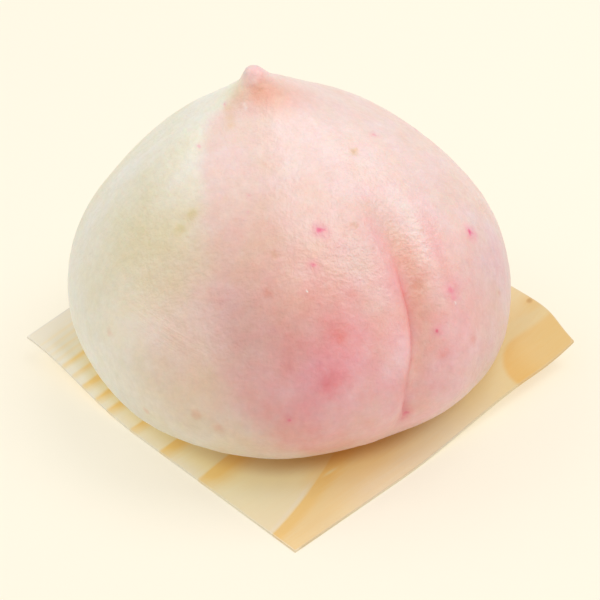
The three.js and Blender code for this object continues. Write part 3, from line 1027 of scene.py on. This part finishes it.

# The tones that lie over the wood, in turn. Some are painted shade and painted light.
TONES = [
    # Tan towards the right corner.
    {"colour": (0.81, 0.69, 0.52), "zone": [("p", 30, 64), ("q", 8, 14, 1, 0.6)]},
    # Greyer at the front corner: painted shade.
    {"colour": (0.87, 0.82, 0.80), "zone": [("p + q", 24, 5)]},
    # Duller towards the left corner.
    {
        "colour": (0.915, 0.915, 0.89),
        "zone": [("q", 46, 54), ("q", 68, 73, 1, 0.1), ("p", 0.8, 3.5)],
    },
    # Warm painted shade near the bun, where its shadow falls.
    {"colour": (1.0, 0.95, 0.83), "zone": [("clearance", 10, 4)]},
    # Painted contact shadow, dark brown, close under the bun.
    {
        "colour": (0.62, 0.40, 0.23),
        "zone": [("clearance", 5.3, 1.7), ("x", -28, 4, 0.15, 1), ("x", 14, 34, 1, 0.4)],
    },
    # The knot's brown eye.
    {"colour": (0.55, 0.30, 0.10), "zone": [("from_knot", 0.85, 0.2, 0, 0.6)], "how": "MIX"},
    # The cut edges: cooler than the face, but paler on the left and towards the right corner,
    # where painted light lifts their shade.
    {
        "colour": (0.86, 0.88, 0.97),
        "zone": [("rim", 0.6, 1), ("p", 2, 0.5, 1, 0.4), ("p", 44, 60, 1, 0.45)],
    },
    {
        "colour": (0.99, 0.96, 0.86),
        "zone": [("rim", 0.6, 1), ("p", 2, 0.5, 0.05, 0.35), ("p", 44, 60, 1, 2.6)],
        "how": "MIX",
    },
]


def year_rings(finish, p, q, waver):
    """The dark late wood of the year rings."""
    along = finish.math("MAXIMUM", PITH[0] - p, 0) * RING_STRETCH
    beside = q - PITH[1]
    distance = finish.math("SQRT", along * along + beside * beside) + waver * RING_WAVER
    late = 0
    for ring in RINGS:
        inner = ring["at"] - distance
        dark = finish.smooth(inner, ring["fade"], 0) * finish.smooth(inner, *RING_EDGE)
        late = dark * ring["dark"] + late
    return late * finish.zone(RINGS_PALER)


def front_band(finish, p, q, left):
    """The broad band at the front corner, with its fleck of paler wood."""
    right = p * BAND_RIGHT["slope"] + BAND_RIGHT["start"]
    finish.axes["share"] = (left - q) / (left - right)
    band = finish.math("MAXIMUM", finish.zone(BAND_EDGE), finish.zone(BAND_SPILL))
    fleck_p, fleck_q = FLECK["at"]
    fleck = finish.bell(p, fleck_p, FLECK["long"]) * finish.bell(q, fleck_q, FLECK["wide"])
    return band * finish.zone(BAND_FADES) * (1 - fleck * FLECK["paler"])


def dark_tongue(finish, p, q, waver):
    """The tongue of dark wood, round at its tip and narrower towards the corner."""
    tip = finish.math("MAXIMUM", TONGUE_TIP - p, 0)
    beside = q - TONGUE_MIDDLE
    distance = finish.math("SQRT", tip * tip + beside * beside) + waver * TONGUE_WAVER
    inner = TONGUE_RADIUS - distance - finish.zone(TONGUE_NARROWS)
    return finish.smooth(inner, *TONGUE_EDGE) * finish.zone(TONGUE_FADES)


def veneer_finish():
    finish = Finish("veneer")
    finish.axes = {name: finish.attribute(name) for name in ("clearance", "rim")}
    finish.axes["x"] = finish.axis("X")
    middle = (LINER_SIDE / 2, LINER_SIDE / 2, 0)
    finish.turn_place(-math.radians(LINER_AZIMUTH), middle)
    p, q = finish.axis("X"), finish.axis("Y")
    from_knot = finish.distance_flat(KNOT)
    beyond = q + (p - SIDE_BAND["at"]) * SIDE_BAND["slope"] - SIDE_BAND["from"]
    finish.axes.update({"p": p, "q": q, "p + q": p + q, "from_knot": from_knot, "beyond": beyond})
    waver = finish.mottle(**WAVER)
    stretched = finish.vector("MULTIPLY", finish.place, FIBRE_STRETCH)
    fibre = finish.noise(1, detail=FIBRE_DETAIL, place=stretched)

    band_left = p * (p * BAND_LEFT["bend"] + BAND_LEFT["slope"]) + BAND_LEFT["start"]
    band_left = band_left + waver * BAND_WAVER
    late = year_rings(finish, p, q, waver)
    late = finish.math("MAXIMUM", late, front_band(finish, p, q, band_left))
    late = finish.math("MAXIMUM", late, dark_tongue(finish, p, q, waver))
    late = late + finish.zone(SIDE_BAND_STEPS) + (fibre - 0.5) * FIBRE_DARK
    late = late + finish.bell(from_knot, 0, KNOT_HALO["reach"]) * KNOT_HALO["dark"]

    grey = finish.zone(GREY_LEFT) + finish.zone(GREY_RIGHT) + finish.mottle(**GREY_MOTTLE)
    beside_band = finish.bell(q - band_left, MARGIN_BAND["away"], MARGIN_BAND["reach"])
    margin = finish.zone(MARGIN_LEFT) + beside_band * finish.zone(MARGIN_BAND["steps"])
    colour = finish.mix(grey, PALE_WOOD, GREY_WOOD)
    colour = finish.mix(margin, colour, MARGIN)
    colour = finish.mix(late, colour, LATE_WOOD)
    for tone in TONES:
        how = tone.get("how", "MULTIPLY")
        colour = finish.mix(finish.zone(tone["zone"]), colour, tone["colour"], how)
    finish.feed("Base Color", colour)
    finish.relief(fibre * FIBRE_HEIGHT)
    finish.fix(Roughness=0.6)
    return finish.material


# --- Stage ---

LOOK_AT = Vector((0, 0, 14.93)) * MM
CAMERA_DISTANCE = 400 * MM
CAMERA_ELEVATION = 38.01
CAMERA_LENS = 125.54
CAMERA_SENSOR = 36
CLIP_START = 0.01
BACKDROP = (0.99, 0.93, 0.78)
TABLE_RADIUS = 3
TABLE_CORNERS = 96
TABLE_SHARE = 0.6
TABLE_GLOW = 0.42
WORLD_COLOUR = (1.0, 0.98, 0.96)
WORLD_STRENGTH = 0.545

# Each softbox hangs this far from the bun, and is this wide, in metres.
SOFTBOX_AWAY = 0.8
SOFTBOX_WIDTH = 0.5
OVERHEAD = (0.4, 0.03, 0.91)
SOFTBOXES = [
    {"name": "overhead", "towards": OVERHEAD, "watts": 1.82},
    {"name": "overhead_fill", "towards": OVERHEAD, "watts": 1.45, "shadow": False},
    {"name": "left_fill", "towards": (-0.65, 0.1, 0.75), "watts": 1.0},
]


def lay_table():
    """A wide table that glows a little, so that it shows as a plain backdrop."""
    bpy.ops.object.select_all(action="DESELECT")
    bpy.ops.mesh.primitive_circle_add(
        vertices=TABLE_CORNERS, radius=TABLE_RADIUS, fill_type="NGON", location=(0, 0, 0)
    )
    floor = bpy.context.object
    floor.name = "table"
    surface = bpy.data.materials.new("table")
    surface.use_nodes = True
    shader = surface.node_tree.nodes["Principled BSDF"]
    shader.inputs["Base Color"].default_value = (*(TABLE_SHARE * value for value in BACKDROP), 1)
    shader.inputs["Roughness"].default_value = 0.9
    shader.inputs["Specular IOR Level"].default_value = 0.0
    shader.inputs["Emission Color"].default_value = (*BACKDROP, 1)
    shader.inputs["Emission Strength"].default_value = TABLE_GLOW
    floor.data.materials.append(surface)


def hang_softbox(name, towards, watts, shadow=True):
    light = bpy.data.lights.new(name, "AREA")
    light.use_shadow = shadow
    light.size = SOFTBOX_WIDTH
    light.energy = watts
    lamp = bpy.data.objects.new(name, light)
    bpy.context.scene.collection.objects.link(lamp)
    direction = Vector(towards).normalized()
    lamp.location = LOOK_AT + direction * SOFTBOX_AWAY
    lamp.rotation_euler = direction.to_track_quat("Z", "Y").to_euler()


def light_scene():
    world = bpy.data.worlds.new("studio")
    world.use_nodes = True
    background = world.node_tree.nodes["Background"]
    background.inputs["Color"].default_value = (*WORLD_COLOUR, 1)
    background.inputs["Strength"].default_value = WORLD_STRENGTH
    bpy.context.scene.world = world
    for softbox in SOFTBOXES:
        hang_softbox(**softbox)


def place_camera():
    elevation = math.radians(CAMERA_ELEVATION)
    back = Vector((0, -math.cos(elevation), math.sin(elevation)))
    camera = bpy.data.cameras.new("camera")
    camera.lens = CAMERA_LENS
    camera.sensor_width = CAMERA_SENSOR
    camera.clip_start = CLIP_START
    viewer = bpy.data.objects.new("camera", camera)
    bpy.context.scene.collection.objects.link(viewer)
    viewer.location = LOOK_AT + back * CAMERA_DISTANCE
    viewer.rotation_euler = (math.pi / 2 - elevation, 0, 0)
    bpy.context.scene.camera = viewer
    bpy.context.scene.view_settings.view_transform = "Standard"


# --- The scene ---

bun = make_bun()
bun.data.materials.append(dough_finish(bun))
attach(bun, "root")
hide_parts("bun")

liner = make_liner(bun)
liner.data.materials.append(veneer_finish())
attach(liner, "root")
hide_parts("veneer_liner")

lay_table()
light_scene()
place_camera()
